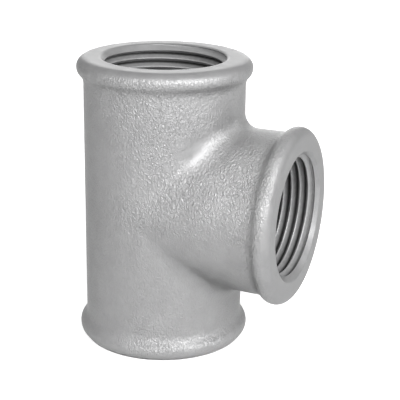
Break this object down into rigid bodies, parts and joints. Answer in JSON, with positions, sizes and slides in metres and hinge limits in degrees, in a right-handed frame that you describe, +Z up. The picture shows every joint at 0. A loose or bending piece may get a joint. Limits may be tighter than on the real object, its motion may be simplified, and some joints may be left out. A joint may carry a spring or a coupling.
{
  "type": "pipe tee",
  "caption": "Equal pipe tee in galvanised malleable iron: a straight run with a side branch, a beaded and tapped port at every end, and a rounded crotch.",
  "frame": {"origin": "centre of the run's lower end face, where the tee stands", "axes": "+Z up along the run's axis, +X along the branch's axis as it leaves the run"},
  "size_m": [0.0608, 0.046, 0.076],
  "materials": {
    "galvanised_iron": "hot-dip galvanised cast skin, satin light grey, with machined end faces and threads"
  },
  "bodies": {
    "root": {"tee_body": "galvanised_iron"}
  },
  "joints": []
}
